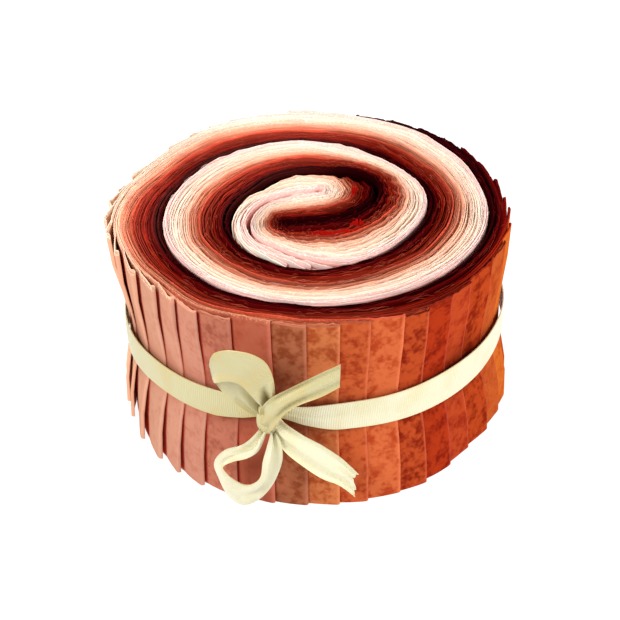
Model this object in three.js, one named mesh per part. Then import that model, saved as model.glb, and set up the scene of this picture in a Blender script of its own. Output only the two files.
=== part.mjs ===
// A roll of forty cotton strips, tied round the middle with a satin ribbon in a bow.
// Millimetres, +Z up. The roll stands on the cut edges of its strips at z = 0, its axis is the
// Z axis, and the bow is at the front, towards -Y.
//
// Each strip is folded in half and all of them are wound together. They end one after the other
// once round the wall, so the wall is forty overlapping folds.

import * as THREE from 'three';

// Driving dimensions
const STRIP_WIDTH = 63.5;        // the strips are cut 2 1/2 inches wide, the height of the roll
const STRIP_COUNT = 40;
const ROLL_RADIUS = 59.2;        // mean radius over the folds at the two ends of the roll
const RIBBON_THICKNESS = 1.0;
const GAP = 0.35;                // between pieces that touch

// Wall of folds
const FOLD_STEP = 1.2;           // how far a fold end stands out over the next strip
const FOLD_STEP_TIED = 0.3;      // the same where the ribbon presses it flat
const TIE_DEPTH = 3.0;           // how far the ribbon pulls the wall in
const TIE_HALF_HEIGHT = 5.8;     // half of the height that is pulled in fully
const TIE_REACH_UP = 12.0;       // how fast the wall comes out again above the ribbon
const TIE_REACH_DOWN = 7.0;      // and below it
const RIM_INSET = 1.6;           // width of the uneven rim on the upper end
const RIM_RISE = 0.7;            // how much higher or lower a strip may stand there
const RIM_WAVE = { perFold: 2.3, start: 0.4 };  // its change from fold to fold, in radians
const FOLD_PITCH = (2 * Math.PI * ROLL_RADIUS) / STRIP_COUNT;
const FIRST_FOLD = -58.5;        // place of fold 0 along the wall from the front, leftwards < 0

// How far each fold is from an even spacing, in millimetres along the wall, repeated round it
const FOLD_SHIFT = [0.7, 1.0, -1.0, -2.4, -1.6, 0.5, 0.9, 0.7, -0.4, 0.0, -1.6, -2.0, -2.8, -0.8];

// Profile of one fold from the step beside it to its rounded end: place and height as fractions
const FOLD_PROFILE = [
  { along: 0.03, out: -0.50 },
  { along: 0.34, out: -0.16 },
  { along: 0.66, out: 0.18 },
  { along: 0.88, out: 0.44 },
  { along: 0.96, out: 0.50 },
  { along: 1.00, out: 0.22 },
];

// Places where the wall is flatter or fuller than a circle: angle from +X, half span, amount
const WALL_SHAPE = [
  { at: 152, span: 26, out: -3.0 },
  { at: 302, span: 20, out: 0.9 },
];

// Lean of the folds: how far their foot is from their head along the wall, by place on the wall
const FOLD_LEAN = [
  { along: -186, value: 0 },
  { along: -90, value: -4 },
  { along: -58, value: -6.3 },
  { along: -40, value: -3.2 },
  { along: -26, value: -1 },
  { along: 24, value: -0.6 },
  { along: 38, value: 1.6 },
  { along: 54, value: 2.6 },
  { along: 90, value: 0 },
  { along: 186, value: 0 },
];

// Ribbon round the roll: middle height, height of the band and depth of its lengthwise crease
const BAND_ROUTE = [
  { along: -186, middle: 26.5, height: 9.5, crease: 0 },
  { along: -120, middle: 29.0, height: 9.5, crease: 0 },
  { along: -60, middle: 31.2, height: 9.5, crease: 0 },
  { along: -30, middle: 31.8, height: 9.2, crease: 0 },
  { along: -21, middle: 32.6, height: 7.2, crease: 0.15 },
  { along: -15, middle: 33.4, height: 5.0, crease: 0.4 },
  { along: -9, middle: 33.3, height: 4.6, crease: 0.5 },
  { along: -3, middle: 32.0, height: 6.2, crease: 0.55 },
  { along: 5, middle: 31.2, height: 8.8, crease: 0.5 },
  { along: 12, middle: 31.2, height: 9.4, crease: 0.2 },
  { along: 25, middle: 31.0, height: 9.5, crease: 0 },
  { along: 45, middle: 29.8, height: 9.5, crease: 0 },
  { along: 62, middle: 26.8, height: 9.5, crease: 0 },
  { along: 85, middle: 24.8, height: 9.5, crease: 0 },
  { along: 120, middle: 24.4, height: 9.5, crease: 0 },
  { along: 186, middle: 26.5, height: 9.5, crease: 0 },
];

// Knot: a tight lozenge of ribbon over the band
const KNOT = { along: -12.4, up: 33.3, halfWidth: 3.4, halfHeight: 4.5, depth: 4.2 };
const KNOT_SQUARENESS = 0.8;     // 1 is an oval, and less is nearer to a box
// Its sections from the back to the blunt front, as shares of its depth and size
const KNOT_SECTIONS = [
  { out: 0, size: 0.84 },
  { out: 0.18, size: 0.97 },
  { out: 0.5, size: 1.0 },
  { out: 0.8, size: 0.86 },
  { out: 1, size: 0.55 },
];

// Free ribbon. Each row is a section: edge a and edge b, each as [along the wall from the front,
// height, distance out from the mean radius of the roll].
const UPPER_LOOP = [
  { a: [-11.2, 38.2, 1.6], b: [-13.9, 38.1, 1.3] },
  { a: [-10.2, 43.0, 3.8], b: [-14.4, 41.6, 3.4] },
  { a: [-9.4, 51.0, 6.0], b: [-15.4, 46.6, 5.6] },
  { a: [-10.6, 56.0, 7.6], b: [-16.2, 49.4, 7.2] },
  { a: [-13.5, 59.8, 9.0], b: [-17.6, 51.6, 8.6] },
  { a: [-17.2, 61.4, 9.8], b: [-19.4, 52.2, 9.6] },
  { a: [-20.8, 60.4, 10.0], b: [-22.0, 50.6, 8.8] },
  { a: [-24.0, 54.6, 9.2], b: [-24.6, 46.0, 5.8] },
  { a: [-23.8, 48.8, 7.6], b: [-25.2, 42.4, 3.0] },
  { a: [-21.4, 45.6, 5.8], b: [-24.4, 39.4, 2.2] },
  { a: [-18.6, 41.4, 4.2], b: [-21.6, 36.0, 1.8] },
  { a: [-15.4, 36.9, 2.2], b: [-16.2, 33.4, 1.3] },
];
const LOWER_LOOP = [
  { a: [-15.0, 29.1, 1.4], b: [-13.0, 28.3, 1.7] },
  { a: [-17.6, 25.4, 2.3], b: [-14.4, 24.7, 5.2] },
  { a: [-20.9, 22.0, 2.7], b: [-16.9, 23.2, 7.4] },
  { a: [-24.5, 20.2, 4.0], b: [-20.0, 22.8, 9.4] },
  { a: [-26.7, 16.4, 5.2], b: [-22.2, 21.2, 10.8] },
  { a: [-25.8, 10.8, 5.4], b: [-21.4, 17.6, 9.8] },
  { a: [-23.4, 5.6, 5.6], b: [-19.8, 14.2, 8.0] },
  { a: [-19.5, 3.6, 5.8], b: [-17.8, 12.6, 7.0] },
  { a: [-15.4, 6.2, 5.4], b: [-15.3, 14.6, 7.8] },
  { a: [-11.7, 12.0, 4.4], b: [-13.3, 18.4, 8.8] },
  { a: [-9.1, 19.4, 3.2], b: [-12.7, 23.4, 8.2] },
  { a: [-9.0, 24.6, 2.4], b: [-12.2, 26.2, 5.6] },
  { a: [-10.2, 28.7, 1.3], b: [-11.9, 28.3, 1.8] },
];
const UPPER_TAIL = [
  { a: [-10.3, 38.6, 2.3], b: [-9.1, 35.4, 1.8] },
  { a: [-8.6, 44.2, 4.2], b: [-6.6, 37.2, 3.2] },
  { a: [-6.2, 47.4, 5.2], b: [-4.4, 39.2, 3.7] },
  { a: [-2.8, 50.4, 6.6], b: [-1.2, 41.8, 4.3] },
  { a: [1.6, 54.2, 8.0], b: [3.2, 45.6, 5.4] },
  { a: [6.2, 58.2, 9.4], b: [6.6, 49.0, 7.0] },
];
const LOWER_TAIL = [
  { a: [-8.7, 32.1, 1.5], b: [-9.0, 29.4, 2.0] },
  { a: [-4.9, 29.7, 2.4], b: [-8.0, 24.6, 3.4] },
  { a: [-1.9, 27.4, 2.6], b: [-5.4, 20.6, 4.0] },
  { a: [1.6, 24.4, 2.8], b: [-2.4, 16.6, 5.0] },
  { a: [5.0, 20.2, 3.0], b: [1.0, 13.6, 7.0] },
  { a: [8.2, 16.6, 3.2], b: [4.4, 10.6, 8.4] },
  { a: [10.8, 14.2, 3.4], b: [8.4, 6.8, 9.0] },
];

const COTTON = { name: 'cotton', color: 0xb5523a, roughness: 0.9, metalness: 0 };
const SATIN = { name: 'satin ribbon', color: 0xeee6b4, roughness: 0.4, metalness: 0 };

// Small sums

const radians = (degrees) => THREE.MathUtils.degToRad(degrees);
const angleAt = (along) => along / ROLL_RADIUS - Math.PI / 2;
const alongAt = (angle) => wrapAlong((angle + Math.PI / 2) * ROLL_RADIUS);

// A place along the wall, brought into one turn with 0 at the front
function wrapAlong(along) {
  const round = 2 * Math.PI * ROLL_RADIUS;
  return along - round * Math.round(along / round);
}

// Smooth curve through a table's rows: Catmull-Rom on one column, against another
function readTable(rows, key, column, at) {
  const rising = rows[rows.length - 1][key] > rows[0][key] ? 1 : -1;
  let i = 0;
  while (i < rows.length - 2 && (rows[i + 1][key] - at) * rising < 0) i += 1;
  const before = rows[Math.max(i - 1, 0)];
  const after = rows[Math.min(i + 2, rows.length - 1)];
  const t = (at - rows[i][key]) / (rows[i + 1][key] - rows[i][key]);
  const [p0, p1, p2, p3] = [before, rows[i], rows[i + 1], after].map((row) => row[column]);
  return 0.5 * (2 * p1 + (p2 - p0) * t + (2 * p0 - 5 * p1 + 4 * p2 - p3) * t * t
    + (3 * p1 - p0 - 3 * p2 + p3) * t * t * t);
}

// Solids

function meshFrom(points, index) {
  const geometry = new THREE.BufferGeometry();
  const numbers = points.flatMap((p) => [p.x, p.y, p.z]);
  geometry.setAttribute('position', new THREE.Float32BufferAttribute(numbers, 3));
  geometry.setIndex(index);
  return geometry;
}

// Triangles around rings of points, from each ring to the next. Rings run counterclockwise
// about the way from the first to the last.
function bandsBetween(rings, closed) {
  const count = rings[0].length;
  const index = [];
  for (let r = 0; r < rings.length - (closed ? 0 : 1); r += 1) {
    const next = (r + 1) % rings.length;
    for (let j = 0; j < count; j += 1) {
      const k = (j + 1) % count;
      const [a, b] = [r * count + j, r * count + k];
      const [c, d] = [next * count + k, next * count + j];
      index.push(a, b, c, a, c, d);
    }
  }
  return index;
}

// A closed solid through rings, with a fan on each end
function loft(rings, startCentre, endCentre) {
  const count = rings[0].length;
  const points = rings.flat();
  const index = bandsBetween(rings, false);
  const start = points.push(startCentre) - 1;
  const end = points.push(endCentre) - 1;
  const last = (rings.length - 1) * count;
  for (let j = 0; j < count; j += 1) {
    const k = (j + 1) % count;
    index.push(start, k, j, end, last + j, last + k);
  }
  return meshFrom(points, index);
}

const centreOf = (ring) => ring.reduce((sum, p) => sum.add(p), new THREE.Vector3())
  .divideScalar(ring.length);

// The roll

// Radius of the wall between the folds' steps, before the ribbon pulls it in
function wallRadius(angle) {
  let radius = ROLL_RADIUS;
  for (const { at, span, out } of WALL_SHAPE) {
    const away = Math.atan2(Math.sin(angle - radians(at)), Math.cos(angle - radians(at)));
    radius += out * Math.exp(-((away / radians(span)) ** 2));
  }
  return radius;
}

const bandMiddle = (angle) => readTable(BAND_ROUTE, 'along', 'middle', alongAt(angle));

// Share of the ribbon's pull at a height: 1 under the ribbon, falling away above and below
function tieShare(angle, height) {
  const away = height - bandMiddle(angle);
  const past = Math.max(0, Math.abs(away) - TIE_HALF_HEIGHT);
  const reach = away > 0 ? TIE_REACH_UP : TIE_REACH_DOWN;
  return 1 / (1 + (past / reach) ** 2);
}

function foldAlong(index) {
  const shift = FOLD_SHIFT[((index % STRIP_COUNT) + STRIP_COUNT) % STRIP_COUNT % FOLD_SHIFT.length];
  return FIRST_FOLD + index * FOLD_PITCH + shift;
}

// One ring of the wall. Height comes from the ribbon's course, so the tie follows the ribbon.
function wallRing(heightAt, inset = 0) {
  const ring = [];
  for (let fold = 0; fold < STRIP_COUNT; fold += 1) {
    const [from, to] = [foldAlong(fold - 1), foldAlong(fold)];
    for (const { along, out } of FOLD_PROFILE) {
      const head = from + along * (to - from);
      const height = heightAt(angleAt(head), fold);
      const lean = readTable(FOLD_LEAN, 'along', 'value', wrapAlong(head));
      const angle = angleAt(head + lean * (1 - height / STRIP_WIDTH));
      const share = tieShare(angle, height);
      const step = THREE.MathUtils.lerp(FOLD_STEP, FOLD_STEP_TIED, share);
      const radius = wallRadius(angle) - TIE_DEPTH * share + out * step - inset;
      ring.push(new THREE.Vector3(radius * Math.cos(angle), radius * Math.sin(angle), height));
    }
  }
  return ring;
}

function rollSolid() {
  const below = (share) => (angle) => share * (bandMiddle(angle) - TIE_HALF_HEIGHT);
  const above = (share) => (angle) => {
    const foot = bandMiddle(angle) + TIE_HALF_HEIGHT;
    return foot + share * (STRIP_WIDTH - foot);
  };
  const rim = (angle, fold) => STRIP_WIDTH + RIM_RISE * Math.sin(RIM_WAVE.perFold * fold + RIM_WAVE.start);
  const rings = [0, 0.35, 0.7, 1].map((share) => wallRing(below(share)));
  rings.push(...[0, 0.25, 0.6].map((share) => wallRing(above(share))));
  rings.push(wallRing(rim), wallRing(() => STRIP_WIDTH, RIM_INSET));
  return loft(rings, new THREE.Vector3(0, 0, 0), new THREE.Vector3(0, 0, STRIP_WIDTH));
}

// The ribbon

// A point given along the wall, upwards and out from the mean radius
function wallPoint([along, up, out]) {
  const angle = angleAt(along);
  const radius = ROLL_RADIUS + out;
  return new THREE.Vector3(radius * Math.cos(angle), radius * Math.sin(angle), up);
}

// The band round the roll: a ring of an oblong section with a crease along its outer face
function bandSolid() {
  const count = 120;
  const inner = -TIE_DEPTH + FOLD_STEP_TIED / 2 + GAP;
  const rings = Array.from({ length: count }, (_, i) => {
    const angle = (2 * Math.PI * i) / count;
    const along = alongAt(angle);
    const read = (column) => readTable(BAND_ROUTE, 'along', column, along);
    const [middle, half, crease] = [read('middle'), read('height') / 2, read('crease')];
    const base = wallRadius(angle) + inner;
    const at = (out, up) => new THREE.Vector3(
      (base + out) * Math.cos(angle), (base + out) * Math.sin(angle), middle + up);
    return [
      at(0, -half),
      at(0, half),
      at(RIBBON_THICKNESS, half),
      at(RIBBON_THICKNESS - crease, 0),
      at(RIBBON_THICKNESS, -half),
    ];
  });
  return meshFrom(rings.flat(), bandsBetween(rings, true));
}

// A length of ribbon with its two edges on smooth curves through the rows of a table
function ribbonSolid(rows, stepsPerRow = 4) {
  const [edgeA, edgeB] = ['a', 'b'].map((edge) => new THREE.CatmullRomCurve3(
    rows.map((row) => wallPoint(row[edge])), false, 'catmullrom', 0.5));
  const count = (rows.length - 1) * stepsPerRow;
  const as = Array.from({ length: count + 1 }, (_, i) => edgeA.getPoint(i / count));
  const bs = Array.from({ length: count + 1 }, (_, i) => edgeB.getPoint(i / count));
  const middles = as.map((a, i) => a.clone().add(bs[i]).multiplyScalar(0.5));
  const rings = as.map((a, i) => {
    const b = bs[i];
    const ahead = middles[Math.min(i + 1, count)];
    const behind = middles[Math.max(i - 1, 0)];
    const way = new THREE.Vector3().subVectors(ahead, behind).normalize();
    const across = new THREE.Vector3().subVectors(a, b).normalize();
    const face = new THREE.Vector3().crossVectors(way, across).normalize()
      .multiplyScalar(RIBBON_THICKNESS / 2);
    return [
      a.clone().sub(face), a.clone().add(face), b.clone().add(face), b.clone().sub(face),
    ];
  });
  return loft(rings, centreOf(rings[0]), centreOf(rings[count]));
}

// The knot: a lozenge, rounded to a blunt front and flat at the back, where the band passes
function knotSolid() {
  const { along, up, halfWidth, halfHeight, depth } = KNOT;
  const sides = 16;
  const back = -TIE_DEPTH + FOLD_STEP_TIED / 2 + GAP + RIBBON_THICKNESS + GAP;
  const rings = KNOT_SECTIONS.map(({ out, size }) => Array.from({ length: sides }, (_, i) => {
    const turn = (2 * Math.PI * i) / sides;
    const round = (value) => Math.sign(value) * Math.abs(value) ** KNOT_SQUARENESS;
    return wallPoint([
      along + size * halfWidth * round(Math.cos(turn)),
      up + size * halfHeight * round(Math.sin(turn)),
      back + out * depth,
    ]);
  }));
  return loft(rings, centreOf(rings[0]), centreOf(rings[rings.length - 1]));
}

// The model

function addPiece(group, name, geometry, finish) {
  const faceted = geometry.index ? geometry.toNonIndexed() : geometry;
  faceted.computeVertexNormals();
  const mesh = new THREE.Mesh(faceted, new THREE.MeshStandardMaterial(finish));
  mesh.name = name;
  group.add(mesh);
}

const model = new THREE.Group();
addPiece(model, 'fabric_roll', rollSolid(), COTTON);
addPiece(model, 'ribbon_band', bandSolid(), SATIN);
addPiece(model, 'ribbon_knot', knotSolid(), SATIN);
addPiece(model, 'ribbon_loop_upper', ribbonSolid(UPPER_LOOP), SATIN);
addPiece(model, 'ribbon_loop_lower', ribbonSolid(LOWER_LOOP), SATIN);
addPiece(model, 'ribbon_tail_upper', ribbonSolid(UPPER_TAIL), SATIN);
addPiece(model, 'ribbon_tail_lower', ribbonSolid(LOWER_TAIL), SATIN);

export default model;
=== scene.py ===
"""Looks of a roll of forty folded cotton strips, tied round the middle with a satin ribbon in a bow.

The roll stands on z = 0 with its axis on the Z axis and the bow at the front, towards -Y. Sizes are
in millimetres, and a mesh is turned to metres when it is made. Each strip is folded in half and all of
them are wound together, so a strip has a place in the stack, from 0 for the dark side, which lies
inwards, to 1 for the pale side.
"""

import logging
import math
from dataclasses import dataclass, field
from enum import Enum

import bpy
import numpy as np
from mathutils import Matrix, Vector
from numpy.typing import NDArray


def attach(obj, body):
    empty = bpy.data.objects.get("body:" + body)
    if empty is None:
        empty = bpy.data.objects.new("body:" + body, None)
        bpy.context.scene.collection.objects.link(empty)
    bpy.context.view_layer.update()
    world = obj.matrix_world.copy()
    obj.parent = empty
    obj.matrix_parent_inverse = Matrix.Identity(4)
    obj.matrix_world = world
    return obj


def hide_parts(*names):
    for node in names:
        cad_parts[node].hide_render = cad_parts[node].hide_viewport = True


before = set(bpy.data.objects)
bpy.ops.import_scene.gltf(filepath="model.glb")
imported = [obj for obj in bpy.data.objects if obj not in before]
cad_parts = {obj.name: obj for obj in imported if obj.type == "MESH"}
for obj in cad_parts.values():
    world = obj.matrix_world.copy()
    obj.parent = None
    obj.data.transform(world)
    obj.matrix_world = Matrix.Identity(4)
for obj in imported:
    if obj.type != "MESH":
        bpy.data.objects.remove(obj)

Array = NDArray[np.float64]
Colour = tuple[float, float, float]

LOG = logging.getLogger("fabric_strip_roll")
MM = 0.001
SEED = 40
TINY = 1e-9


# Sizes shared with the solids

STRIP_WIDTH = 63.5
STRIP_COUNT = 40
LAYER_COUNT = 2 * STRIP_COUNT
ROLL_RADIUS = 59.2
WALL_LENGTH = 2 * math.pi * ROLL_RADIUS
FOLD_STEP = 1.2
FOLD_STEP_TIED = 0.3
TIE_DEPTH = 3.0
TIE_HALF_HEIGHT = 5.8
TIE_REACH_UP = 12.0
TIE_REACH_DOWN = 7.0
TIE_EASED, TIE_EASED_AT, TIE_EASED_SPAN = 1.4, 88.0, 26.0
FIRST_FOLD = -58.5
FOLD_PITCH = WALL_LENGTH / STRIP_COUNT
FOLD_SHIFT = (0.7, 1.0, -1.0, -2.4, -1.6, 0.5, 0.9, 0.7, -0.4, 0.0, -1.6, -2.0, -2.8, -0.8)
FOLD_OF_STRIP_0 = 25
LAST_FOLDS = {0: 12.0, 1: 6.0, 2: 2.5, 3: 1.0}  # strip, and degrees that its fold lies further on

FOLD_PROFILE = np.array([  # place across a panel, height of its face as a share of the step
    (0.00, -0.50), (0.34, -0.16), (0.66, 0.18), (0.88, 0.44), (0.96, 0.50), (1.00, 0.30),
])
ROWS_BELOW = np.array([0.0, 0.4, 0.75, 1.0])  # shares of the height from the foot to the ribbon
ROWS_ABOVE = np.array([0.0, 0.25, 0.6, 0.97, 1.0])  # and from the ribbon to the head
PANEL_COLUMNS = (0.0, 0.05, 0.10, 0.16, 0.24, 0.36, 0.50, 0.66, 0.80, 0.90, 0.96, 1.0)
WALL_SHAPE = ((152.0, 26.0, -3.0), (302.0, 20.0, 0.9))  # angle, half span, amount
FOLD_LEAN = np.array([  # place along the wall, lean of the fold's foot
    (-186, 0), (-90, -4), (-58, -6.3), (-40, -3.2), (-26, -1), (24, -0.6), (38, 1.6), (54, 2.6),
    (90, 0), (186, 0),
], float)
FOLD_STANDOFF = np.array([  # place along the wall, how far the fold ends stand off, as a share
    (-186, 1.0), (-90, 2.1), (-50, 2.0), (-20, 1.1), (10, 0.7), (40, 0.6), (75, 1.0), (186, 0.8),
], float)
HEAD_HEIGHT = np.array([  # place along the wall, height of the strips' heads over the mean
    (-186, 1.3), (-150, 1.6), (-115, 2.0), (-90, 2.1), (-70, 1.9), (-48, 1.8), (-40, 0.6), (-33, 0.0),
    (-22, 0.5), (-11, 0.8), (-2, 0.2), (8, 0.4), (16, 0.0), (26, -0.8), (34, -1.0), (42, -1.0),
    (50, -0.8), (63, 0.4), (100, 0.9), (125, 0.8), (145, 0.4), (165, 0.4), (180, 1.1), (186, 1.3),
], float)
HEAD_FLARE = np.array([  # place along the wall, how far the heads lean out
    (-186, 0.4), (-150, 1.0), (-110, 1.3), (-80, 0.9), (-55, 0.4), (-30, 0.0), (30, 0.0), (60, 0.4),
    (90, 0.3), (140, 0.2), (186, 0.4),
], float)
FOOT_FLARE = np.array([  # place along the wall, how far the feet stand out
    (-186, 0.0), (40, 0.0), (64, 0.8), (92, 1.5), (130, 0.3), (186, 0.0),
], float)
FOOT_HEIGHT = np.array([  # place along the wall, how far the strips' feet are lifted
    (-186, 0.2), (-60, 0.0), (30, 0.1), (40, 0.4), (50, 1.4), (63, 1.2), (90, 0.4), (186, 0.2),
], float)
BAND_ROUTE = np.array([  # place along the wall, middle height, height of the band, crease
    (-186, 26.5, 9.5, 0), (-120, 29.0, 9.5, 0), (-60, 31.2, 9.5, 0), (-30, 31.8, 9.2, 0),
    (-21, 32.6, 7.2, 0.10), (-15, 33.4, 5.0, 0.25), (-9, 33.3, 4.6, 0.3), (-3, 32.0, 6.2, 0.35),
    (5, 31.2, 8.8, 0.35), (12, 31.2, 9.4, 0.15), (25, 31.2, 9.8, 0), (40, 31.0, 10.2, 0),
    (51, 30.8, 10.2, 0), (63, 30.3, 10.0, 0), (90, 30.4, 9.5, 0), (130, 28.0, 9.5, 0), (186, 26.5, 9.5, 0),
])

TURN_EDGE = np.array([  # turn angle, radius of the edge between the pale and the dark side
    (75, 58.8), (52, 57.3), (36, 54.9), (14, 52.8), (-2, 53.0), (-20, 52.8), (-47, 50.9), (-75, 50.0),
    (-96, 49.0), (-121, 46.9), (-150, 44.6), (-180, 43.0), (-207, 41.6), (-236, 41.6), (-264, 40.7),
    (-292, 38.3), (-322, 36.0), (-354, 35.7), (-380, 33.4), (-413, 31.7), (-444, 31.4), (-472, 29.4),
    (-505, 25.8), (-541, 22.4), (-574, 19.7), (-609, 21.8), (-636, 22.4), (-659, 23.0),
])

# Rungs of the S in the core, from the raw ends outwards: the dark side, the pale side, and the
# least place in the stack that has a strip there
CORE_RUNGS = np.array([
    (7.4, -30.6, 7.5, -30.2, 0.985), (4.3, -31.1, 4.5, -29.9, 0.96),
    (-1.0, -30.9, -0.8, -27.3, 0.92), (-6.3, -29.5, -4.4, -25.8, 0.88),
    (-12.3, -26.5, -8.9, -22.6, 0.85), (-17.5, -21.6, -13.2, -18.9, 0.83),
    (-20.8, -15.7, -16.5, -13.9, 0.81), (-22.6, -8.7, -18.0, -8.0, 0.79),
    (-22.8, -2.4, -17.3, -2.9, 0.76), (-21.4, 3.4, -14.8, 2.0, 0.72),
    (-18.8, 8.4, -12.0, 5.1, 0.69), (-15.4, 12.1, -9.1, 6.8, 0.66), (-11.4, 16.9, -5.5, 8.2, 0.62),
    (-5.3, 21.0, -1.9, 8.9, 0.57), (1.6, 22.1, 1.2, 9.6, 0.52), (8.0, 21.5, 2.6, 10.9, 0.44),
    (13.6, 20.9, 3.5, 11.0, 0.20), (18.2, 16.9, 4.1, 10.5, 0.0), (20.3, 10.9, 4.3, 9.7, 0.0),
    (19.1, 4.3, 4.0, 9.0, 0.0), (16.0, -0.3, 3.4, 8.5, 0.0), (11.4, -3.1, 2.4, 8.2, 0.0),
    (6.4, -5.0, 0.8, 8.1, 0.0), (1.2, -5.7, -1.6, 7.9, 0.0), (-2.8, -5.9, -5.3, 7.2, 0.0),
    (-5.9, -6.1, -8.8, 5.7, 0.0), (-7.4, -6.3, -12.2, 3.5, 0.0), (-7.8, -6.7, -15.0, -0.6, 0.0),
    (-7.9, -7.1, -16.9, -5.6, 0.0), (-7.8, -7.4, -16.9, -10.2, 0.0),
    (-7.6, -7.6, -15.4, -14.8, 0.0), (-7.3, -7.8, -12.4, -18.6, 0.0),
    (-6.9, -7.9, -8.2, -22.0, 0.0), (-5.4, -7.6, -3.6, -25.0, 0.0), (-2.6, -7.3, 1.2, -27.2, 0.0),
    (0.6, -7.1, 6.0, -28.9, 0.0), (4.0, -6.8, 11.8, -29.2, 0.0), (8.0, -5.7, 18.2, -25.9, 0.0),
    (12.1, -3.7, 24.0, -21.1, 0.0), (15.7, -1.1, 28.8, -15.3, 0.0), (18.6, 2.4, 32.4, -8.6, 0.0),
    (20.5, 7.4, 34.9, -1.2, 0.0), (21.1, 12.6, 35.2, 6.2, 0.0), (19.6, 17.8, 33.0, 14.4, 0.0),
    (15.6, 21.2, 28.9, 21.6, 0.0), (10.6, 22.8, 23.6, 28.0, 0.0), (7.4, 22.9, 16.8, 33.4, 0.0),
])
CORE_STATIONS = float(len(CORE_RUNGS))
CORE_STEP = 0.25
SPIRAL_START = -283.0
SPIRAL_END = 452.0
TURN_PER_STATION = 15.0

# Free ribbon: edge a and edge b of each section, as along the wall, height and distance out
UPPER_LOOP = np.array([
    (-10.6, 39.4, 1.6, -13.6, 36.9, 1.3), (-9.9, 43.6, 2.8, -14.6, 39.6, 3.0),
    (-9.8, 50.8, 5.4, -15.9, 43.9, 5.0), (-10.9, 56.7, 7.2, -17.6, 48.2, 6.8),
    (-13.3, 60.2, 8.8, -19.6, 50.0, 8.2), (-16.2, 61.5, 9.6, -21.3, 49.8, 8.6),
    (-19.8, 61.4, 10.0, -22.8, 48.8, 8.4), (-22.8, 59.3, 9.8, -24.1, 47.6, 7.4),
    (-24.3, 55.0, 8.6, -24.9, 46.2, 5.6), (-22.6, 51.6, 6.6, -24.8, 42.6, 3.4),
    (-20.2, 48.8, 5.0, -23.4, 39.8, 2.5), (-17.8, 45.4, 3.8, -20.6, 37.0, 2.0),
    (-15.6, 40.6, 2.4, -17.4, 34.4, 1.5), (-14.4, 36.6, 1.3, -15.4, 33.2, 1.2),
])
LOWER_LOOP = np.array([
    (-15.0, 29.1, 1.4, -13.0, 28.3, 1.7), (-17.6, 25.4, 2.3, -14.4, 24.7, 5.2),
    (-20.9, 22.0, 2.7, -16.9, 23.2, 7.4), (-24.5, 20.2, 4.0, -20.0, 22.8, 9.4),
    (-26.7, 16.4, 5.2, -22.2, 21.2, 10.8), (-25.8, 10.8, 5.4, -21.4, 17.6, 9.8),
    (-23.4, 5.6, 5.6, -19.8, 14.2, 8.0), (-19.5, 3.6, 5.8, -17.8, 12.6, 7.0),
    (-15.4, 6.2, 5.4, -15.3, 14.6, 7.8), (-11.7, 12.0, 4.4, -13.3, 18.4, 8.8),
    (-9.1, 19.4, 3.2, -12.7, 23.4, 8.2), (-9.0, 24.6, 2.4, -12.2, 26.2, 5.6),
    (-10.2, 28.7, 1.3, -11.9, 28.3, 1.8),
])
UPPER_TAIL = np.array([
    (-14.4, 32.6, 0.9, -13.4, 29.6, 1.2), (-14.1, 36.4, 3.2, -12.4, 30.0, 3.4),
    (-12.9, 40.2, 4.6, -11.2, 31.6, 4.6), (-11.2, 43.0, 5.2, -9.8, 34.2, 5.0),
    (-9.2, 45.0, 5.4, -8.0, 37.6, 5.2), (-6.5, 47.0, 5.4, -5.5, 40.4, 5.2),
    (-2.3, 50.3, 5.9, -2.4, 42.6, 5.4), (1.8, 53.7, 6.9, 2.0, 45.3, 6.1),
    (6.3, 57.3, 8.4, 6.2, 48.8, 7.0),
])
LOWER_TAIL = np.array([
    (-9.4, 33.2, 1.4, -10.4, 29.8, 1.6), (-7.7, 32.6, 2.4, -9.7, 26.2, 2.8),
    (-2.8, 28.8, 2.8, -7.4, 23.0, 3.6), (1.9, 25.4, 3.0, -3.6, 19.6, 4.4),
    (6.5, 20.9, 3.2, 1.4, 15.4, 5.2), (9.0, 17.6, 3.4, 6.0, 12.8, 6.0),
    (11.4, 14.0, 3.6, 10.0, 8.4, 7.0),
])
KNOT_ALONG, KNOT_UP = -12.4, 33.3
KNOT_HALF_WIDTH, KNOT_HALF_HEIGHT, KNOT_DEPTH = 3.2, 5.2, 3.8
# Left of this x, in millimetres, the band and the knot take the satin's painted shade.
SHADED_LEFT_OF = -12.0


# Small sums

def read_table(table: Array, at: Array, column: int = 1) -> Array:
    """Smooth value of a table's column: Catmull-Rom through its rows, against its first column.

    Args:
        table: rows in rising or falling order of their first column.
        at: where to read it.
        column: the column to read.

    Returns:
        The values, in the shape of at.
    """
    rows = table if table[-1, 0] > table[0, 0] else table[::-1]
    keys, values = rows[:, 0], rows[:, column]
    i = np.clip(np.searchsorted(keys, at, side="right") - 1, 0, len(keys) - 2)
    t = np.clip((at - keys[i]) / (keys[i + 1] - keys[i]), 0.0, 1.0)
    p0, p1 = values[np.maximum(i - 1, 0)], values[i]
    p2, p3 = values[i + 1], values[np.minimum(i + 2, len(keys) - 1)]
    return 0.5 * (2 * p1 + (p2 - p0) * t + (2 * p0 - 5 * p1 + 4 * p2 - p3) * t**2
                  + (3 * p1 - p0 - 3 * p2 + p3) * t**3)


def through_rows(rows: Array, steps: int) -> Array:
    """Catmull-Rom curve through points.

    Args:
        rows: the points, one to a row.
        steps: how many steps lead from each row to the next.

    Returns:
        The curve, in as many columns as the rows have.
    """
    at = np.linspace(0, len(rows) - 1, (len(rows) - 1) * steps + 1)
    keyed = np.column_stack([np.arange(len(rows), dtype=float), rows])
    return np.column_stack([read_table(keyed, at, c + 1) for c in range(rows.shape[1])])


def wrap_along(along: Array) -> Array:
    """Place along the wall brought into one turn, with 0 at the front."""
    return along - WALL_LENGTH * np.round(along / WALL_LENGTH)


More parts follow.
